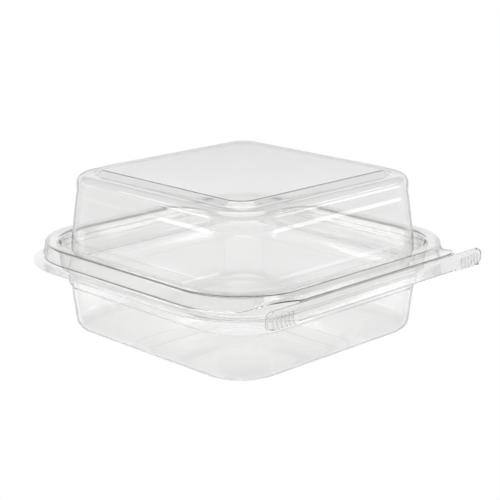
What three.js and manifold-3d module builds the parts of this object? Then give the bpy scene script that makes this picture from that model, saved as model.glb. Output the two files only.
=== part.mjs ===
// Square hinged food container of clear thermoformed sheet, shown closed.
// Millimetres, +Z up. The origin is the middle of the tray's underside.
// The hinge side faces +Y, the front faces -Y.
import * as THREE from "three";
import { mergeVertices } from "three/addons/utils/BufferGeometryUtils.js";
import Module from "manifold-3d";

const wasm = await Module();
wasm.setup();

// Driving dimensions
const sheet = 0.5; // wall thickness everywhere
const cornerCentre = 40; // the corner arcs' centres stand this far from the middle, in x and in y
const arcSteps = 12; // segments in a corner arc
const sideSteps = 2; // segments in a straight side
const nestGap = 0.3; // clearance between the closed lid and the tray

// Tray: half widths run from the middle to the sheet's upper face
const mouthHalf = 62.6; // top of the tapered wall
const wallLean = 2.4; // how far the wall leans out from its foot to its top
const bottomRadius = 7;
const lipZ = 33.8; // upper face of the flat outer lip
const seatDrop = 4.9; // from the lip down to the seat that carries the lid's channel
const ledgeDrop = 7.6; // from the seat down to the top of the tapered wall
const ledgeStep = 1.4; // the lower ledge's width
const seatStep = 3.1; // the seat's width
const beadRise = 7.9; // from the lip up to the bead's top
const beadLean = 1.9; // how far the bead's inner side leans outward
const beadWidth = 5;
const lipWidth = 4.8;

// Lid: half widths run from the middle to the sheet's outer face
const domeRise = 33.1; // from the rim up to the top panel
const domeLean = 3.3; // how far the dome's wall leans in from the rim to the shoulder
const shoulderRadius = 7.7;
const shelfWidth = 2.2; // from the top panel's edge to where the shoulder begins
const panelStep = 2.4;
const channelWidth = 3.2;
const skirtDrop = 6.3; // from the rim's top down to the skirt's lower edge
const skirtLean = 0.5;
const flare = 0.8;

// Hinge: an upper and a lower fold with the tear strip between them
const hingeReach = 4; // from the lip's edge to the folds
const foldGap = 0.55; // from a fold's axis to the edge of each piece that bends there
const flangeDrop = 0.5; // from the rim's top down to the flat flange
const fadeFrom = 40; // degrees round a hinge-side corner where the skirt begins to turn into the flange
const flangeEnd = 76; // degrees round that corner where the flange's straight edge ends
const tabLength = 18.6;
const tabCorner = 3.2;
const ribPitch = 2.3;
const ribCount = 6;
const ribWidth = 1.5;
const ribHeight = 0.7;
const ribTilt = 0.22; // radians

// Sizes that follow from the driving ones
const wallTopZ = lipZ - seatDrop - ledgeDrop;
const seatZ = lipZ - seatDrop;
const beadTopZ = lipZ + beadRise;
const ledgeHalf = mouthHalf + ledgeStep;
const seatHalf = ledgeHalf + seatStep;
const beadInnerHalf = seatHalf + beadLean;
const beadOuterHalf = beadInnerHalf + beadWidth;
const lipHalf = beadOuterHalf + 1.2 + lipWidth;
const rimTopZ = beadTopZ + nestGap + sheet;
const rimOuterHalf = beadOuterHalf + nestGap + sheet;
const channelZ = seatZ + nestGap + sheet + 0.2;
const panelZ = rimTopZ + domeRise;
const domeHalf = mouthHalf - domeLean;
const flangeTopZ = rimTopZ - flangeDrop;
const foldY = lipHalf + hingeReach;
const trimY = foldY - foldGap; // where the flange and the web end
const hingeHalf = cornerCentre + (trimY - cornerCentre) / Math.tan((flangeEnd * Math.PI) / 180);
const upperFoldZ = flangeTopZ - sheet / 2;
const lowerFoldZ = lipZ - sheet / 2;

// The path that every ring follows: a core point, the outward direction, how far the
// skirt has turned into the flange (0 to 1), and how far out the hinge side's outline lies.
function smoothRise(from, to, value) {
  const t = Math.min(1, Math.max(0, (value - from) / (to - from)));
  return t * t * (3 - 2 * t);
}

// Half width at which a ray from a corner's centre meets the line from an ordinary rim,
// left at fadeFrom, to the end of the straight fold
function outlineHalf(degrees, rimHalf) {
  const angle = THREE.MathUtils.degToRad(degrees);
  if (degrees <= fadeFrom) return rimHalf;
  if (degrees >= flangeEnd) return cornerCentre + (trimY - cornerCentre) / Math.sin(angle);
  const from = THREE.MathUtils.degToRad(fadeFrom);
  const start = new THREE.Vector2(Math.cos(from), Math.sin(from)).multiplyScalar(rimHalf - cornerCentre);
  const end = new THREE.Vector2(hingeHalf - cornerCentre, trimY - cornerCentre);
  const run = end.clone().sub(start);
  return cornerCentre + start.cross(run) / (Math.cos(angle) * run.y - Math.sin(angle) * run.x);
}

function corePath() {
  const stations = [];
  for (let corner = 0; corner < 4; corner++) {
    const start = (corner * Math.PI) / 2;
    const middle = start + Math.PI / 4;
    const cx = cornerCentre * Math.sign(Math.cos(middle));
    const cy = cornerCentre * Math.sign(Math.sin(middle));
    for (let i = 0; i <= arcSteps; i++) {
      const angle = start + (i / arcSteps) * (Math.PI / 2);
      const turned = corner === 0 ? (90 * i) / arcSteps : corner === 1 ? 90 - (90 * i) / arcSteps : 0;
      stations.push({ x: cx, y: cy, nx: Math.cos(angle), ny: Math.sin(angle), turned });
    }
    const end = start + Math.PI / 2;
    const nx = Math.cos(end);
    const ny = Math.sin(end);
    for (let i = 1; i < sideSteps; i++) {
      const t = i / sideSteps;
      const x = cx - 2 * cornerCentre * t * ny;
      const y = cy + 2 * cornerCentre * t * nx;
      stations.push({ x, y, nx, ny, turned: corner === 0 ? 90 : 0 });
    }
  }
  return stations;
}

// Points of a profile moved to the right of its direction by the sheet's thickness
function offsetProfile(points, distance) {
  return points.map((point, i) => {
    const before = points[Math.max(0, i - 1)];
    const after = points[Math.min(points.length - 1, i + 1)];
    const first = i > 0 ? point.clone().sub(before).normalize() : after.clone().sub(point).normalize();
    const second = i < points.length - 1 ? after.clone().sub(point).normalize() : first.clone();
    const n1 = new THREE.Vector2(first.y, -first.x);
    const n2 = new THREE.Vector2(second.y, -second.x);
    const mitre = n1.clone().add(n2).multiplyScalar(distance / (1 + n1.dot(n2)));
    return point.clone().add(mitre);
  });
}

// A closed shell: the profile is carried round the path, thickened, and capped in the middle.
function formedShell(profileAt) {
  const path = corePath();
  const count = path.length;
  const positions = [];
  const faces = [];
  const upper = [];
  const lower = [];
  const place = (list, station, points) => {
    list.push(
      points.map((p) => {
        const reach = p.x - cornerCentre;
        positions.push(station.x + station.nx * reach, station.y + station.ny * reach, p.y);
        return positions.length / 3 - 1;
      }),
    );
  };
  for (const station of path) {
    const profile = profileAt(station.turned);
    place(upper, station, profile);
    place(lower, station, offsetProfile(profile, sheet));
  }
  const rows = upper[0].length;
  const quad = (a, b, c, d) => faces.push(a, b, c, a, c, d);
  for (let s = 0; s < count; s++) {
    const t = (s + 1) % count;
    for (let i = 0; i < rows - 1; i++) {
      quad(upper[s][i], upper[s][i + 1], upper[t][i + 1], upper[t][i]);
      quad(lower[s][i], lower[t][i], lower[t][i + 1], lower[s][i + 1]);
    }
    quad(upper[s][rows - 1], lower[s][rows - 1], lower[t][rows - 1], upper[t][rows - 1]);
  }
  const upperMiddle = positions.length / 3;
  positions.push(0, 0, profileAt(0)[0].y);
  const lowerMiddle = upperMiddle + 1;
  positions.push(0, 0, profileAt(0)[0].y - sheet);
  for (let s = 0; s < count; s++) {
    const t = (s + 1) % count;
    faces.push(upperMiddle, upper[s][0], upper[t][0]);
    faces.push(lowerMiddle, lower[t][0], lower[s][0]);
  }
  const geometry = new THREE.BufferGeometry();
  geometry.setAttribute("position", new THREE.Float32BufferAttribute(positions, 3));
  geometry.setIndex(faces);
  return geometry;
}

function toSolid(geometry) {
  const bare = geometry.clone();
  bare.deleteAttribute("normal");
  bare.deleteAttribute("uv");
  const merged = mergeVertices(bare, 1e-4);
  return new wasm.Manifold(
    new wasm.Mesh({
      numProp: 3,
      vertProperties: new Float32Array(merged.attributes.position.array),
      triVerts: new Uint32Array(merged.index.array),
    }),
  );
}

function toGeometry(solid) {
  const mesh = solid.getMesh();
  const geometry = new THREE.BufferGeometry();
  geometry.setAttribute("position", new THREE.Float32BufferAttribute(mesh.vertProperties, 3));
  geometry.setIndex(Array.from(mesh.triVerts));
  return geometry;
}

const at = (half, z) => new THREE.Vector2(half, z);

// Points on a quarter-like arc from one angle to another, in degrees
function arc(centreHalf, centreZ, radius, fromDeg, toDeg, steps) {
  return Array.from({ length: steps + 1 }, (_, i) => {
    const angle = THREE.MathUtils.degToRad(fromDeg + ((toDeg - fromDeg) * i) / steps);
    return at(centreHalf + radius * Math.cos(angle), centreZ + radius * Math.sin(angle));
  });
}

// Tray profile: upper face of the sheet, from the floor out to the lip.
// On the hinge side the lip runs on to the lower fold as a flat web.
function trayProfile(turned) {
  const footHalf = mouthHalf - wallLean - bottomRadius;
  const bottom = arc(footHalf, sheet + bottomRadius, bottomRadius, -90, -8, 5);
  return [
    ...bottom,
    at(mouthHalf, wallTopZ - 0.7),
    at(mouthHalf - 0.2, wallTopZ + 0.5),
    at(ledgeHalf - 0.5, wallTopZ + 1.2),
    at(ledgeHalf, wallTopZ + 2.8),
    at(ledgeHalf + 0.4, seatZ - 1.6),
    at(ledgeHalf + 1.4, seatZ - 0.4),
    at(seatHalf - 0.8, seatZ + 0.3),
    at(seatHalf, seatZ + 2.1),
    at(beadInnerHalf - 0.5, beadTopZ - 1.5),
    at(beadInnerHalf + 0.6, beadTopZ),
    at(beadOuterHalf - 1, beadTopZ),
    at(beadOuterHalf - 0.3, beadTopZ - 0.7),
    at(beadOuterHalf + 0.3, lipZ + 1.5),
    at(beadOuterHalf + 1.2, lipZ),
    at(outlineHalf(turned, lipHalf), lipZ),
  ];
}

// Lid profile: outer face of the sheet, from the top panel out to the skirt's edge.
// On the hinge side the skirt is laid out flat as a flange that reaches the upper fold.
function lidProfile(turned) {
  const stepZ = panelZ - panelStep;
  const kinkZ = stepZ - shoulderRadius;
  const shelfHalf = domeHalf - shoulderRadius;
  const panelHalf = shelfHalf - shelfWidth;
  const shoulder = arc(shelfHalf, kinkZ, shoulderRadius, 90, 0, 5);
  const channelInner = mouthHalf + 0.5;
  const flareHalf = rimOuterHalf + skirtLean + flare;
  const edge = outlineHalf(turned, flareHalf);
  const share = smoothRise(fadeFrom, flangeEnd, turned);
  const skirtHalf = THREE.MathUtils.lerp(rimOuterHalf + skirtLean, (rimOuterHalf + edge) / 2, share);
  const blend = (z) => z + (flangeTopZ - z) * share;
  return [
    at(panelHalf - 0.8, panelZ),
    at(panelHalf - 0.1, panelZ - 0.35),
    at(panelHalf + 0.5, stepZ + 0.4),
    at(panelHalf + 1.2, stepZ),
    ...shoulder,
    at(domeHalf + 0.1, kinkZ - 1),
    at(domeHalf + 0.5, kinkZ - 1.5),
    at((domeHalf + mouthHalf) / 2 + 0.2, (kinkZ + rimTopZ) / 2),
    at(mouthHalf, rimTopZ),
    at(channelInner, channelZ + 2),
    at(channelInner + 0.6, channelZ + 0.5),
    at(channelInner + channelWidth * 0.4, channelZ),
    at(channelInner + channelWidth * 0.75, channelZ + 0.4),
    at(channelInner + channelWidth, channelZ + 1.8),
    at(beadInnerHalf - 1.3, rimTopZ - 1.4),
    at(beadInnerHalf + 0.7, rimTopZ),
    at(rimOuterHalf - 1.4, rimTopZ),
    at(rimOuterHalf - 0.5, rimTopZ - 0.2),
    at(rimOuterHalf, blend(rimTopZ - 1)),
    at(skirtHalf, blend(rimTopZ - skirtDrop + 1)),
    at(edge, blend(rimTopZ - skirtDrop)),
  ];
}

// Tear strip: a straight band between the folds, with a rounded, ribbed pull tab at each end
function tearStrip() {
  const bottom = lowerFoldZ + foldGap;
  const top = upperFoldZ - foldGap;
  const tabBottom = lowerFoldZ - sheet / 2;
  const tabStart = hingeHalf + 2 * nestGap;
  const tabEnd = tabStart + tabLength;
  const outline = new THREE.Shape();
  outline.moveTo(-tabStart, bottom);
  outline.lineTo(tabStart, bottom);
  outline.lineTo(tabStart, tabBottom);
  outline.lineTo(tabEnd - tabCorner, tabBottom);
  outline.absarc(tabEnd - tabCorner, tabBottom + tabCorner, tabCorner, -Math.PI / 2, 0, false);
  outline.absarc(tabEnd - tabCorner, top - tabCorner, tabCorner, 0, Math.PI / 2, false);
  outline.lineTo(-tabEnd + tabCorner, top);
  outline.absarc(-tabEnd + tabCorner, top - tabCorner, tabCorner, Math.PI / 2, Math.PI, false);
  outline.absarc(-tabEnd + tabCorner, tabBottom + tabCorner, tabCorner, Math.PI, 1.5 * Math.PI, false);
  outline.lineTo(-tabStart, tabBottom);
  outline.lineTo(-tabStart, bottom);
  const band = new THREE.ExtrudeGeometry(outline, { depth: sheet, bevelEnabled: false, curveSegments: 5 });
  band.rotateX(Math.PI / 2);
  band.translate(0, foldY + sheet / 2, 0);
  let strip = toSolid(band);

  // Slanted ribs on the outer face of the tabs
  const section = new THREE.Shape();
  section.moveTo(-ribWidth / 2, -sheet / 2);
  section.lineTo(ribWidth / 2, -sheet / 2);
  section.lineTo(ribWidth * 0.3, ribHeight * 0.8);
  section.lineTo(0, ribHeight);
  section.lineTo(-ribWidth * 0.3, ribHeight * 0.8);
  section.lineTo(-ribWidth / 2, -sheet / 2);
  const length = (top - tabBottom) * 0.74;
  for (const side of [-1, 1]) {
    for (let i = 0; i < ribCount; i++) {
      const rib = new THREE.ExtrudeGeometry(section, { depth: length, bevelEnabled: false });
      rib.translate(0, 0, -length / 2);
      rib.rotateY(ribTilt * side);
      const x = side * (tabEnd - 1.1 * tabCorner - i * ribPitch);
      rib.translate(x, foldY + sheet / 2, (tabBottom + top) / 2);
      strip = strip.add(toSolid(rib));
    }
  }
  return toGeometry(strip);
}

const trayMaterial = new THREE.MeshStandardMaterial({ color: 0xeceeed, roughness: 0.08, metalness: 0 });
const lidMaterial = new THREE.MeshStandardMaterial({ color: 0xeff1f0, roughness: 0.07, metalness: 0 });
const stripMaterial = new THREE.MeshStandardMaterial({ color: 0xe6e8e7, roughness: 0.12, metalness: 0 });

const tray = new THREE.Mesh(formedShell(trayProfile), trayMaterial);
tray.name = "base_tray";

const lid = new THREE.Mesh(formedShell(lidProfile), lidMaterial);
lid.name = "lid";

const strip = new THREE.Mesh(tearStrip(), stripMaterial);
strip.name = "tear_strip";

const container = new THREE.Group();
container.add(tray, strip, lid);

export default container;
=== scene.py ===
import math

import bmesh
import bpy
from mathutils import Matrix, Vector
from mathutils.geometry import intersect_line_line


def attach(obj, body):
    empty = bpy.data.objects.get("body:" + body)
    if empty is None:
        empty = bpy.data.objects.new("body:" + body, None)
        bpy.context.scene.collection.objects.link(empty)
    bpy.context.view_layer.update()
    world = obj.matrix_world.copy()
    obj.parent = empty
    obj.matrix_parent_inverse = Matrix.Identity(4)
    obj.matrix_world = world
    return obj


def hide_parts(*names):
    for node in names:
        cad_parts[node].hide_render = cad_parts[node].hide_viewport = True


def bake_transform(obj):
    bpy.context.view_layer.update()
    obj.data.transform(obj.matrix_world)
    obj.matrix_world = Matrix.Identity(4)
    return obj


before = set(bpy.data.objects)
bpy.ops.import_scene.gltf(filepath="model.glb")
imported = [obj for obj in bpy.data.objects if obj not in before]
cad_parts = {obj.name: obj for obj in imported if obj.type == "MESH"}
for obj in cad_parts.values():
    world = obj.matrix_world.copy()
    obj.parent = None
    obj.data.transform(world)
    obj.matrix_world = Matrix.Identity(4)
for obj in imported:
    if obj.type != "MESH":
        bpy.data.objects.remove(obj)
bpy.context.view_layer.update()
print("frame loaded:", ", ".join(sorted(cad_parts)))

mm = 0.001  # the pieces are sized in millimetres, the camera and the studio in metres

# the formed sheet and the rounded square that every rim follows
sheet = {
    "thickness": 0.5,
    "cornerCentre": 40.0,  # centre of each corner arc, from the middle
    "cornerSegments": 24,
    "sideSegments": 16,
    "bendSegments": 5,
    "bendShare": 0.48,     # the most that one bend may take of the straight beside it
    "sharpAngle": 40.0,    # degrees; only the sheet's cut edge is sharper
}

# the double fold at the back
hinge = {
    "foldY": 84.0,
    "foldGap": 0.55,       # from each fold's axis to the edge of the piece that bends there
    "fadeFrom": 40.0,      # degrees round a corner where the skirt begins to lie flat
    "flangeEnd": 76.0,     # degrees round it where the straight edge ends
    "cornerSoftness": 5.0,
    "filmThickness": 0.3,  # the sheet is pressed thin along each fold
    "filmHalf": 50.0,
    "filmClearance": 0.02,
    "filmSteps": 6,
}

# half widths run from the middle to a bend's corner, before it is rounded
tray = {
    "mouthHalf": 62.7,     # top of the tapered wall
    "wallLean": 2.35,      # how far that wall leans out from its foot
    "floorInset": 8.65,    # from the wall's foot in to the edge of the middle face
    "bottomRadius": 7.0,
    "lipHalf": 80.0,
    "lipHeight": 33.8,
    "ledgeStep": 1.0,
    "ledgeRise": 1.3,
    "collarLean": 0.8,     # the short wall between the ledge and the seat
    "collarHeight": 5.4,
    "seatStep": 2.3,
    "seatRise": 1.5,
    "seatDrop": 4.3,       # from the lip down to the seat's outer bend
    "beadLean": 1.9,
    "beadRise": 7.9,       # from the lip up to the bead's top
    "beadWidth": 5.0,
    "skirtLean": 0.8,
    "bends": (0.7, 0.8, 1.4, 1.2, 1.2, 0.9, 1.4),  # radii from the wall's top out to the lip
}

lid = {
    "mouthHalf": 62.6,     # where the dome meets the rim
    "rimHeight": 42.5,
    "domeRise": 33.1,      # from the rim up to the top panel
    "domeLean": 3.3,       # how far the dome's wall leans in from the rim to the shoulder
    "shoulderRadius": 7.7,
    "kink": ((0.05, 0.5), (0.42, 2.2)),  # two bends, each out from the dome and below the shoulder
    "shelfReach": 8.2,     # from the step's foot out to the dome's side
    "stepWidth": 2.7,
    "panelStep": 2.4,
    "panelInset": 1.3,     # from the panel's edge in to the edge of the middle face
    "channelLean": 0.6,
    "channelWidth": 3.2,
    "channelDrop": 12.7,   # from the rim down to the channel's lowest bend
    "channelLowest": 1.884,  # from the channel's inner bend out to its lowest
    "innerRise": 0.5,      # how far its inner and outer bends lie above the lowest
    "outerRise": 2.3,
    "rimLean": 1.6,
    "rimHalf": 74.8,
    "rimInset": 0.2,       # from there in to the rim's outer bend
    "skirtLean": 0.5,
    "skirtDrop": 5.7,      # from the rim's top down to the skirt's bend
    "flare": 0.8,
    "flareDrop": 0.3,
    "flangeDrop": 0.5,     # from the rim's top down to the flat flange
    "panelBends": (3.4, 2.2),
    "bends": (0.9, 0.9, 0.8, 1.1, 1.1, 1.5, 1.2, 0.9, 0.5),  # from the kink out to the skirt
}

# each fold lies in the middle of the sheet that reaches it, and the strip keeps clear of both
upperFold = lid["rimHeight"] - lid["flangeDrop"] - sheet["thickness"] / 2
lowerFold = tray["lipHeight"] - sheet["thickness"] / 2
stripTop = upperFold - hinge["foldGap"]
stripBottom = lowerFold + hinge["foldGap"]


# a section's corners are (half width, height); all but its two ends become arcs
def roundedProfile(corners, radii):
    spots = [Vector(corner) for corner in corners]
    points = [spots[0]]
    for corner, last, following, radius in zip(spots[1:-1], spots, spots[2:], radii):
        before = last - corner
        after = following - corner
        halfTurn = before.angle(after) / 2
        longest = sheet["bendShare"] * min(before.length, after.length)
        reach = min(radius / math.tan(halfTurn), longest)
        toCentre = (before.normalized() + after.normalized()).normalized()
        centre = corner + toCentre * (reach / math.cos(halfTurn))
        start = corner + before.normalized() * reach - centre
        end = corner + after.normalized() * reach - centre
        turn = start.angle_signed(end)
        for step in range(sheet["bendSegments"] + 1):
            points.append(centre + Matrix.Rotation(-turn * step / sheet["bendSegments"], 2) @ start)
    points.append(spots[-1])
    return points


def smoothRise(start, end, value):
    share = min(1.0, max(0.0, (value - start) / (end - start)))
    return share * share * (3 - 2 * share)


# how far out a rim reaches on the hinge side, where it runs on to the fold
def outlineHalf(turned, rimHalf):
    centre = sheet["cornerCentre"]
    edgeReach = hinge["foldY"] - hinge["foldGap"] - centre
    if turned <= hinge["fadeFrom"]:
        return rimHalf
    fromAngle = math.radians(hinge["fadeFrom"])
    start = Vector((math.cos(fromAngle), math.sin(fromAngle), 0)) * (rimHalf - centre)
    end = Vector((edgeReach / math.tan(math.radians(hinge["flangeEnd"])), edgeReach, 0))
    ray = Vector((math.cos(math.radians(turned)), math.sin(math.radians(turned)), 0))
    alongSlant = intersect_line_line(Vector(), ray, start, end)[0].length
    toFold = edgeReach / ray.y
    nearCorner = max(0.0, hinge["cornerSoftness"] - abs(alongSlant - toFold)) / hinge["cornerSoftness"]
    return centre + min(alongSlant, toFold) - nearCorner ** 2 * hinge["cornerSoftness"] / 4


# the stations round the square: core point, outward direction, degrees turned toward the hinge
def squarePath():
    stations = []
    centre = sheet["cornerCentre"]
    for corner in range(4):
        startAngle = corner * math.pi / 2
        middle = startAngle + math.pi / 4
        core = Vector((math.copysign(centre, math.cos(middle)), math.copysign(centre, math.sin(middle)), 0))
        for step in range(sheet["cornerSegments"] + 1):
            turn = step / sheet["cornerSegments"] * math.pi / 2
            outward = Vector((math.cos(startAngle + turn), math.sin(startAngle + turn), 0))
            turned = (math.degrees(turn), 90 - math.degrees(turn), 0, 0)[corner]
            stations.append((core, outward, turned))
        outward = Vector((math.cos(startAngle + math.pi / 2), math.sin(startAngle + math.pi / 2), 0))
        along = Vector((-outward.y, outward.x, 0)) * 2 * centre
        for step in range(1, sheet["sideSegments"]):
            share = step / sheet["sideSegments"]
            stations.append((core + along * share, outward, 90 if corner == 0 else 0))
    return stations


def pieceFrom(bm, name):
    mesh = bpy.data.meshes.new(name)
    bm.to_mesh(mesh)
    bm.free()
    piece = bpy.data.objects.new(name, mesh)
    bpy.context.scene.collection.objects.link(piece)
    return piece


def shadeSmooth(bm):
    for face in bm.faces:
        face.smooth = True
    for edge in bm.edges:
        edge.smooth = edge.calc_face_angle(0) < math.radians(sheet["sharpAngle"])


# the middle face is extruded outward ring by ring along the profile, then given its thickness
def formedSheet(name, sectionAt):
    bm = bmesh.new()
    path = squarePath()
    profiles = [roundedProfile(*sectionAt(turned)) for core, outward, turned in path]

    def shapeRing(ring, row):
        for vert, (core, outward, turned), profile in zip(ring, path, profiles):
            vert.co = (core + outward * (profile[row].x - sheet["cornerCentre"])) * mm
            vert.co.z = profile[row].y * mm

    middle = bmesh.ops.create_circle(bm, cap_ends=True, segments=len(path), radius=0.01)["verts"]
    ring = sorted(middle, key=lambda vert: math.atan2(vert.co.y, vert.co.x) % (2 * math.pi))
    shapeRing(ring, 0)
    for row in range(1, len(profiles[0])):
        edges = [bm.edges.get((vert, ring[index - 1])) for index, vert in enumerate(ring)]
        grown = bmesh.ops.extrude_edge_only(bm, edges=edges)["geom"]
        fresh = {item for item in grown if isinstance(item, bmesh.types.BMVert)}
        ring = [
            next(edge.other_vert(vert) for edge in vert.link_edges if edge.other_vert(vert) in fresh)
            for vert in ring
        ]
        shapeRing(ring, row)
    bmesh.ops.recalc_face_normals(bm, faces=bm.faces)
    if max(bm.faces, key=lambda face: len(face.verts)).normal.z < 0:
        bmesh.ops.reverse_faces(bm, faces=bm.faces)
    bmesh.ops.solidify(bm, geom=bm.faces, thickness=sheet["thickness"] * mm)
    shadeSmooth(bm)
    # the second material is for the sheet's cut edge
    for face in bm.faces:
        face.material_index = int(sum(not edge.smooth for edge in face.edges) > 1)
    return pieceFrom(bm, name)


def traySection(turned):
    footHalf = tray["mouthHalf"] - tray["wallLean"]
    ledgeHalf = tray["mouthHalf"] + tray["ledgeStep"]
    collarHalf = ledgeHalf + tray["collarLean"]
    seatHalf = collarHalf + tray["seatStep"]
    beadInner = seatHalf + tray["beadLean"]
    beadOuter = beadInner + tray["beadWidth"]
    beadTop = tray["lipHeight"] + tray["beadRise"]
    seatHeight = tray["lipHeight"] - tray["seatDrop"]
    collarTop = seatHeight - tray["seatRise"]
    ledgeHeight = collarTop - tray["collarHeight"]
    corners = [
        (footHalf - tray["floorInset"], sheet["thickness"]),
        (footHalf, sheet["thickness"]),
        (tray["mouthHalf"], ledgeHeight - tray["ledgeRise"]),
        (ledgeHalf, ledgeHeight),
        (collarHalf, collarTop),
        (seatHalf, seatHeight),
        (beadInner, beadTop),
        (beadOuter, beadTop),
        (beadOuter + tray["skirtLean"], tray["lipHeight"]),
        (outlineHalf(turned, tray["lipHalf"]), tray["lipHeight"]),
    ]
    return corners, [tray["bottomRadius"], *tray["bends"]]


# on the hinge side the lid's skirt is laid out flat and becomes the flange
def lidSection(turned):
    rimHeight = lid["rimHeight"]
    domeHalf = lid["mouthHalf"] - lid["domeLean"]
    stepHalf = domeHalf - lid["shelfReach"]
    panelHalf = stepHalf - lid["stepWidth"]
    panelHeight = rimHeight + lid["domeRise"]
    shelfHeight = panelHeight - lid["panelStep"]
    wallTop = shelfHeight - lid["shoulderRadius"]
    channelInner = lid["mouthHalf"] + lid["channelLean"]
    channelOuter = channelInner + lid["channelWidth"]
    channelHeight = rimHeight - lid["channelDrop"]
    skirtHeight = rimHeight - lid["skirtDrop"]
    skirtHalf = lid["rimHalf"] + lid["skirtLean"]
    edge = outlineHalf(turned, skirtHalf + lid["flare"])
    share = smoothRise(hinge["fadeFrom"], hinge["flangeEnd"], turned)
    skirtHalf += ((lid["rimHalf"] + edge) / 2 - skirtHalf) * share

    def flatten(height):
        return height + (rimHeight - lid["flangeDrop"] - height) * share

    corners = [
        (panelHalf - lid["panelInset"], panelHeight),
        (panelHalf, panelHeight),
        (stepHalf, shelfHeight),
        (domeHalf, shelfHeight),
        *[(domeHalf + out, wallTop - down) for out, down in lid["kink"]],
        (lid["mouthHalf"], rimHeight),
        (channelInner, channelHeight + lid["innerRise"]),
        (channelInner + lid["channelLowest"], channelHeight),
        (channelOuter, channelHeight + lid["outerRise"]),
        (channelOuter + lid["rimLean"], rimHeight),
        (lid["rimHalf"] - lid["rimInset"], rimHeight),
        (skirtHalf, flatten(skirtHeight)),
        (edge, flatten(skirtHeight - lid["flareDrop"])),
    ]
    return corners, [*lid["panelBends"], lid["shoulderRadius"], *lid["bends"]]


trayShell = formedSheet("tray_shell", traySection)
print("tray formed:", len(trayShell.data.polygons), "faces")
lidShell = formedSheet("lid_shell", lidSection)
print("lid formed:", len(lidShell.data.polygons), "faces")

# the upright band between the folds, with a ribbed pull tab at each end
strip = {
    "tabBottom": 33.3,
    "tabStart": 51.43,
    "tabEnd": 70.03,
    "tabCorner": 3.2,
    "cornerSteps": 10,
    "ribPitch": 2.3,
    "ribCount": 6,
    "ribWidth": 0.9,
    "ribHeight": 0.55,
    "ribTilt": 12.6,       # degrees
    "ribBow": 6.0,         # radius of each rib's curve
    "ribSwing": 56.0,      # degrees along it
    "ribGap": 0.32,        # from the tab's rounded end to the first rib
    "barSteps": 10,        # along each rib and bead
    "barSides": 10,
    "beadWidth": 0.6,      # the raised edge round each tab's end
    "beadInset": 0.4,
}


def makeStrip():
    bm = bmesh.new()
    front = hinge["foldY"] + sheet["thickness"] / 2
    corners = []
    for side in (-1, 1):
        column = [
            (strip["tabStart"], stripBottom),
            (strip["tabStart"], strip["tabBottom"]),
            (strip["tabEnd"], strip["tabBottom"]),
            (strip["tabEnd"], stripTop),
        ]
        corners += [(side * x, z) for x, z in (column if side < 0 else reversed(column))]
    verts = [bm.verts.new(Vector((x, front, z)) * mm) for x, z in corners]
    face = bm.faces.new(verts)
    grown = bmesh.ops.extrude_face_region(bm, geom=[face])["geom"]
    moved = [item for item in grown if isinstance(item, bmesh.types.BMVert)]
    bmesh.ops.translate(bm, verts=moved, vec=(0, -sheet["thickness"] * mm, 0))
    ends = [
        edge for edge in bm.edges
        if abs((edge.verts[0].co - edge.verts[1].co).y) > 0.1 * mm
        and abs(edge.verts[0].co.x) > (strip["tabEnd"] - 0.1) * mm
    ]
    bmesh.ops.bevel(
        bm, geom=ends, offset=strip["tabCorner"] * mm, segments=strip["cornerSteps"],
        profile=0.5, affect="EDGES", material=-1,
    )
    bmesh.ops.recalc_face_normals(bm, faces=bm.faces)
    shadeSmooth(bm)
    return pieceFrom(bm, "strip_band")


# a flat face is swung round an axis into a closed bar
def swingFace(bm, verts, centre, axis, angle, steps):
    face = bm.faces.new(verts)
    bmesh.ops.spin(
        bm, geom=[face, *face.edges, *face.verts], cent=Vector(centre) * mm, axis=axis,
        dvec=(0, 0, 0), angle=angle, steps=steps, use_duplicate=False,
    )


# curved ribs on each tab and a raised bead round its end
def makeRibs():
    bm = bmesh.new()
    front = hinge["foldY"] + sheet["thickness"] / 2
    middle = (strip["tabBottom"] + stripTop) / 2
    halfHeight = (stripTop - strip["tabBottom"]) / 2

    def addBar(x, bow, width, startAngle, swing):
        centre = Vector((x, front, middle))
        spot = bmesh.ops.create_circle(
            bm, segments=strip["barSides"], radius=width / 2 * mm,
            matrix=Matrix.Translation((bow * mm, 0, 0)),
        )["verts"]
        bmesh.ops.scale(bm, verts=spot, vec=(1, strip["ribHeight"] / width * 2, 1))
        turn = Matrix.Rotation(math.radians(startAngle), 3, "Y")
        bmesh.ops.rotate(bm, verts=spot, cent=(0, 0, 0), matrix=turn)
        bmesh.ops.translate(bm, verts=spot, vec=centre * mm)
        swingFace(bm, spot, centre, (0, 1, 0), -math.radians(swing), strip["barSteps"])

    for side in (-1, 1):
        addBar(side * (strip["tabEnd"] - halfHeight), halfHeight - strip["beadInset"],
               strip["beadWidth"], side * 90, 180)
        for index in range(strip["ribCount"]):
            firstRib = strip["tabEnd"] - strip["tabCorner"] - strip["ribGap"]
            x = side * (firstRib - index * strip["ribPitch"])
            addBar(x - strip["ribBow"], strip["ribBow"], strip["ribWidth"],
                   strip["ribSwing"] / 2 + strip["ribTilt"], strip["ribSwing"])
    bmesh.ops.holes_fill(bm, edges=bm.edges)
    bmesh.ops.recalc_face_normals(bm, faces=bm.faces)
    shadeSmooth(bm)
    return pieceFrom(bm, "tab_ribs")


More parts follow.
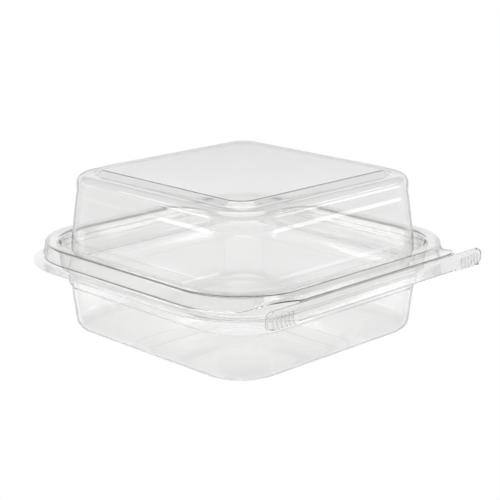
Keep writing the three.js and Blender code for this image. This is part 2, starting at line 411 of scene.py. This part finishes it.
# the thin bend that joins the strip to the sheet beside it
def makeFilm(name, foldHeight, rise):
    bm = bmesh.new()
    radius = hinge["foldGap"] - hinge["filmClearance"]
    start = hinge["foldY"] - radius
    half = hinge["filmHalf"]
    low = foldHeight - hinge["filmThickness"] / 2
    high = foldHeight + hinge["filmThickness"] / 2
    corners = [(-half, low), (half, low), (half, high), (-half, high)]
    verts = [bm.verts.new(Vector((x, start, z)) * mm) for x, z in corners]
    centre = (0, start, foldHeight + rise * radius)
    swingFace(bm, verts, centre, (1, 0, 0), rise * math.pi / 2, hinge["filmSteps"])
    bmesh.ops.holes_fill(bm, edges=bm.edges)
    bmesh.ops.recalc_face_normals(bm, faces=bm.faces)
    shadeSmooth(bm)
    return pieceFrom(bm, name)


stripBand = makeStrip()
tabRibs = makeRibs()
upperFilm = makeFilm("upper_fold", upperFold, -1)
lowerFilm = makeFilm("lower_fold", lowerFold, 1)
print("hinge strip made")

camera = {
    "azimuth": 135.25,
    "elevation": 15.51,
    "distance": 0.66163,
    "focalPixels": 1403.9,
    "imagePixels": 500.0,
    "sensorWidth": 36.0,
    "clip": (0.01, 20.0),
    "originPixel": (242.65, 324.95),  # where the middle of the underside lies in the photo
}

camData = bpy.data.cameras.new("photo camera")
cam = bpy.data.objects.new("photo camera", camData)
bpy.context.scene.collection.objects.link(cam)
bpy.context.scene.camera = cam


def aimCamera():
    azimuth = math.radians(camera["azimuth"])
    elevation = math.radians(camera["elevation"])
    back = Vector((
        math.sin(azimuth) * math.cos(elevation),
        -math.cos(azimuth) * math.cos(elevation),
        math.sin(elevation),
    ))
    right = Vector((0, 0, 1)).cross(back).normalized()
    up = back.cross(right)
    scale = camera["distance"] / camera["focalPixels"]
    offsetX = (camera["originPixel"][0] - camera["imagePixels"] / 2) * scale
    offsetY = (camera["originPixel"][1] - camera["imagePixels"] / 2) * scale
    cam.location = back * camera["distance"] - right * offsetX + up * offsetY
    cam.rotation_mode = "QUATERNION"
    cam.rotation_quaternion = (-back).to_track_quat("-Z", "Y")
    camData.sensor_width = camera["sensorWidth"]
    camData.lens = camera["focalPixels"] / camera["imagePixels"] * camera["sensorWidth"]
    camData.clip_start, camData.clip_end = camera["clip"]


aimCamera()

plastic = {
    "ior": 1.55,
    # the lid is tinted darker than the tray, painted shade, and the tray lighter, painted light: both are
    # the same clear sheet
    "trayLightenedTint": (0.984, 0.984, 0.981),
    "lidDarkenedTint": (0.95, 0.95, 0.947),
    "stripColour": (0.95, 0.95, 0.947),
    # the folds are tinted much darker than the sheet: painted shade in the creases
    "foldCreaseShadeColour": (0.6, 0.6, 0.597),
    "edgeShade": 0.03,     # share of the colour left where the sheet is seen edge on
    "edgeFrom": 0.74,      # how far the sheet turns away before it looks darker
    "edgeTo": 0.88,
    "roughness": 0.03,
    "cutRoughness": 0.5,
    "cutClearness": 0.3,   # the cut edge lets less light through
    "waveScale": 22.0,
    "waveDetail": 1.0,
    "waveHeight": 0.00005,
    "shadowTint": 0.99,
}


def clearPlastic(name, colour):
    mat = bpy.data.materials.new(name)
    mat.use_nodes = True
    tree = mat.node_tree
    shader = tree.nodes["Principled BSDF"]
    shader.inputs["Transmission Weight"].default_value = 1.0
    shader.inputs["Roughness"].default_value = plastic["roughness"]
    shader.inputs["IOR"].default_value = plastic["ior"]
    coords = tree.nodes.new("ShaderNodeTexCoord")
    wave = tree.nodes.new("ShaderNodeTexNoise")
    wave.inputs["Scale"].default_value = plastic["waveScale"]
    wave.inputs["Detail"].default_value = plastic["waveDetail"]
    bump = tree.nodes.new("ShaderNodeBump")
    bump.inputs["Distance"].default_value = plastic["waveHeight"]
    tree.links.new(coords.outputs["Object"], wave.inputs["Vector"])
    tree.links.new(wave.outputs["Fac"], bump.inputs["Height"])
    tree.links.new(bump.outputs["Normal"], shader.inputs["Normal"])
    # the sheet looks darker where it turns edge on
    facing = tree.nodes.new("ShaderNodeLayerWeight")
    turnedAway = tree.nodes.new("ShaderNodeMapRange")
    turnedAway.interpolation_type = "SMOOTHSTEP"
    turnedAway.inputs["From Min"].default_value = plastic["edgeFrom"]
    turnedAway.inputs["From Max"].default_value = plastic["edgeTo"]
    shade = tree.nodes.new("ShaderNodeMix")
    shade.data_type = "RGBA"
    shade.inputs["A"].default_value = (*colour, 1)
    shade.inputs["B"].default_value = (*[plastic["edgeShade"] * value for value in colour], 1)
    tree.links.new(facing.outputs["Facing"], turnedAway.inputs["Value"])
    tree.links.new(turnedAway.outputs["Result"], shade.inputs["Factor"])
    tree.links.new(shade.outputs["Result"], shader.inputs["Base Color"])
    # lamps shine through the clear sheet
    path = tree.nodes.new("ShaderNodeLightPath")
    through = tree.nodes.new("ShaderNodeBsdfTransparent")
    through.inputs["Color"].default_value = (*[plastic["shadowTint"]] * 3, 1)
    mix = tree.nodes.new("ShaderNodeMixShader")
    tree.links.new(path.outputs["Is Shadow Ray"], mix.inputs["Fac"])
    tree.links.new(shader.outputs["BSDF"], mix.inputs[1])
    tree.links.new(through.outputs["BSDF"], mix.inputs[2])
    tree.links.new(mix.outputs["Shader"], tree.nodes["Material Output"].inputs["Surface"])
    return mat


# where the sheet was cut it is slightly frosted and catches the light
def cutPlastic(name, colour):
    mat = bpy.data.materials.new(name)
    mat.use_nodes = True
    shader = mat.node_tree.nodes["Principled BSDF"]
    shader.inputs["Base Color"].default_value = (*colour, 1)
    shader.inputs["Transmission Weight"].default_value = plastic["cutClearness"]
    shader.inputs["Roughness"].default_value = plastic["cutRoughness"]
    shader.inputs["IOR"].default_value = plastic["ior"]
    return mat


def finish(piece, mats, body):
    for mat in mats:
        piece.data.materials.append(mat)
    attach(piece, body)


# the lid's darker tint is painted shade and the tray's lighter tint is painted light
trayLightenedPlastic = clearPlastic("clear tray plastic lightened for painted light", plastic["trayLightenedTint"])
lidDarkenedPlastic = clearPlastic("clear lid plastic darkened for painted shade", plastic["lidDarkenedTint"])
stripPlastic = clearPlastic("clear strip plastic", plastic["stripColour"])
frostedCut = cutPlastic("frosted cut edge", plastic["trayLightenedTint"])
# the fold plastic's dark tint is painted crease shade
foldShadedPlastic = clearPlastic("fold plastic darkened for painted crease shade", plastic["foldCreaseShadeColour"])
finish(trayShell, [trayLightenedPlastic, frostedCut], "tray_body")
finish(lidShell, [lidDarkenedPlastic, lidDarkenedPlastic], "lid_body")
finish(stripBand, [stripPlastic], "strip_body")
finish(tabRibs, [stripPlastic], "strip_body")


# a fold's film gets its plastic and its place is baked into its mesh
def finishFilm(film):
    film.data.materials.append(foldShadedPlastic)
    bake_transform(film)


finishFilm(upperFilm)
finishFilm(lowerFilm)
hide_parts("base_tray")
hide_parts("lid")
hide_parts("tear_strip")
print("materials set")

# a pale floor with a painted pool of light, a dim room that shades the edges, and soft lamps for the
# streaks
studio = {
    # the floor's colour is brighter near the object and darker away from it: a painted pool of light
    "paintedLitFloor": 0.97,
    "paintedDimFloor": 0.77,
    "paintedPoolMiddle": (0.03, 0.03, 0.0),
    "paintedPoolReach": (0.08, 0.17),   # metres from there, where the painted pool of light fades to the darker painted floor
    "floorHalf": 12.0,
    "floorDrop": 0.0002,
    "floorRoughness": 0.9,
    "sunEnergy": 1.78,
    "sunAngle": 70.0,            # degrees, a broad soft overhead light
    "horizonGrey": 1.0,
    "roomGrey": 0.42,
    "ceilingGrey": 0.55,
    "greyHeights": (0.26, 0.4, 0.9),  # where the horizon ends, the room begins and the ceiling is
    "lampTarget": (0, 0, 0.06),
    "bounces": 40,               # enough for light to pass through all the layers of sheet
    "mirrorBounces": 8,
}

# place, size and power of each lamp, in metres and watts
lamps = {
    "right window": ((-0.76, 0.7, 0.14), (0.34, 0.24), 0.35),
    "left window": ((0.763, -0.655, 0.14), (0.14, 0.24), 0.17),
    "right skylight": ((-0.72, 0.52, 0.52), (0.28, 0.08), 0.2),
    "left skylight": ((0.55, -0.69, 0.52), (0.14, 0.08), 0.1),
}


def makeFloor():
    bm = bmesh.new()
    bmesh.ops.create_grid(bm, x_segments=1, y_segments=1, size=studio["floorHalf"])
    floor = pieceFrom(bm, "studio_floor")
    floor.location.z = -studio["floorDrop"]
    mat = bpy.data.materials.new("pale studio floor with painted pool of light")
    mat.use_nodes = True
    shader = mat.node_tree.nodes["Principled BSDF"]
    shader.inputs["Roughness"].default_value = studio["floorRoughness"]
    shader.inputs["Specular IOR Level"].default_value = 0.0
    # painted light: the floor's colour is brighter near the object and fades darker with distance, a
    # painted pool of light which shades the sheet's edges
    tree = mat.node_tree
    coords = tree.nodes.new("ShaderNodeTexCoord")
    distance = tree.nodes.new("ShaderNodeVectorMath")
    distance.operation = "DISTANCE"
    distance.inputs[1].default_value = studio["paintedPoolMiddle"]
    fade = tree.nodes.new("ShaderNodeMapRange")
    fade.interpolation_type = "SMOOTHSTEP"
    fade.inputs["From Min"].default_value = studio["paintedPoolReach"][0]
    fade.inputs["From Max"].default_value = studio["paintedPoolReach"][1]
    fade.inputs["To Min"].default_value = studio["paintedLitFloor"]
    fade.inputs["To Max"].default_value = studio["paintedDimFloor"]
    tree.links.new(coords.outputs["Object"], distance.inputs[0])
    tree.links.new(distance.outputs["Value"], fade.inputs["Value"])
    tree.links.new(fade.outputs["Result"], shader.inputs["Base Color"])
    # seen directly the floor is plain white, and the floor with its painted pool of light shows only
    # through the plastic
    white = tree.nodes.new("ShaderNodeEmission")
    path = tree.nodes.new("ShaderNodeLightPath")
    mix = tree.nodes.new("ShaderNodeMixShader")
    tree.links.new(path.outputs["Is Camera Ray"], mix.inputs["Fac"])
    tree.links.new(shader.outputs["BSDF"], mix.inputs[1])
    tree.links.new(white.outputs["Emission"], mix.inputs[2])
    tree.links.new(mix.outputs["Shader"], tree.nodes["Material Output"].inputs["Surface"])
    floor.data.materials.append(mat)


makeFloor()


def makeWorld():
    world = bpy.data.worlds.new("studio")
    bpy.context.scene.world = world
    world.use_nodes = True
    tree = world.node_tree
    coords = tree.nodes.new("ShaderNodeTexCoord")
    split = tree.nodes.new("ShaderNodeSeparateXYZ")
    ramp = tree.nodes.new("ShaderNodeValToRGB")
    tree.links.new(coords.outputs["Generated"], split.inputs["Vector"])
    tree.links.new(split.outputs["Z"], ramp.inputs["Fac"])
    tree.links.new(ramp.outputs["Color"], tree.nodes["Background"].inputs["Color"])
    stops = ramp.color_ramp.elements
    stops.new(studio["greyHeights"][1])
    greys = (studio["horizonGrey"], studio["roomGrey"], studio["ceilingGrey"])
    for stop, height, grey in zip(stops, studio["greyHeights"], greys):
        stop.position = height
        stop.color = (grey, grey, grey, 1)


makeWorld()


def addLamp(name, data, energy):
    data.energy = energy
    lamp = bpy.data.objects.new(name, data)
    bpy.context.scene.collection.objects.link(lamp)
    return lamp


overhead = bpy.data.lights.new("overhead", "SUN")
overhead.angle = math.radians(studio["sunAngle"])
addLamp("overhead", overhead, studio["sunEnergy"])
for lampName, (place, size, power) in lamps.items():
    glow = bpy.data.lights.new(lampName, "AREA")
    glow.shape = "ELLIPSE"
    glow.size, glow.size_y = size
    lamp = addLamp(lampName, glow, power)
    lamp.location = place
    aim = Vector(studio["lampTarget"]) - Vector(place)
    lamp.rotation_euler = aim.to_track_quat("-Z", "Y").to_euler()

cycles = bpy.context.scene.cycles
cycles.max_bounces = studio["bounces"]
cycles.transmission_bounces = studio["bounces"]
cycles.transparent_max_bounces = studio["bounces"]
cycles.glossy_bounces = studio["mirrorBounces"]
bpy.context.scene.view_settings.view_transform = "Standard"
print("studio ready")
